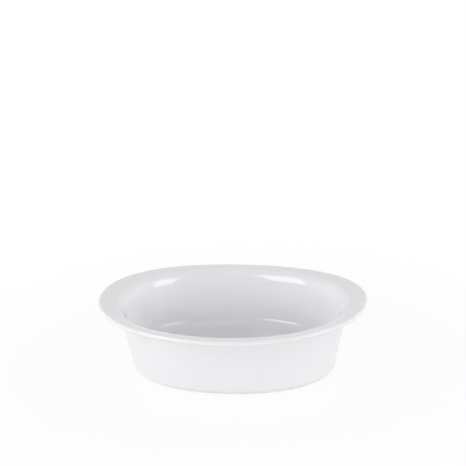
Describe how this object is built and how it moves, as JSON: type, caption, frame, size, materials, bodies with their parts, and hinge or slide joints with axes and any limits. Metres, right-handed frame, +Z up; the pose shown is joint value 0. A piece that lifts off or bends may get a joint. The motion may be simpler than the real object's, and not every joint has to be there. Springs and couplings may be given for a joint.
{
  "type": "gratin dish",
  "caption": "Deep oval gratin dish with a flanged rim turned up at its ends, leaning walls, a rounded floor edge and a bare foot ring, in porcelain glazed white.",
  "frame": {"origin": "middle of the base, on the plane that the foot ring stands on", "axes": "+X along the dish towards one end of the oval, +Y across it towards one side, +Z up out of the dish"},
  "size_m": [0.24, 0.18, 0.065],
  "materials": {
    "porcelain": "bare fired porcelain, dry and slightly rough",
    "glaze": "clear white gloss glaze"
  },
  "bodies": {
    "root": {"porcelain_body": "porcelain", "glaze_coat": "glaze", "hollow_glaze": "glaze"}
  },
  "joints": []
}
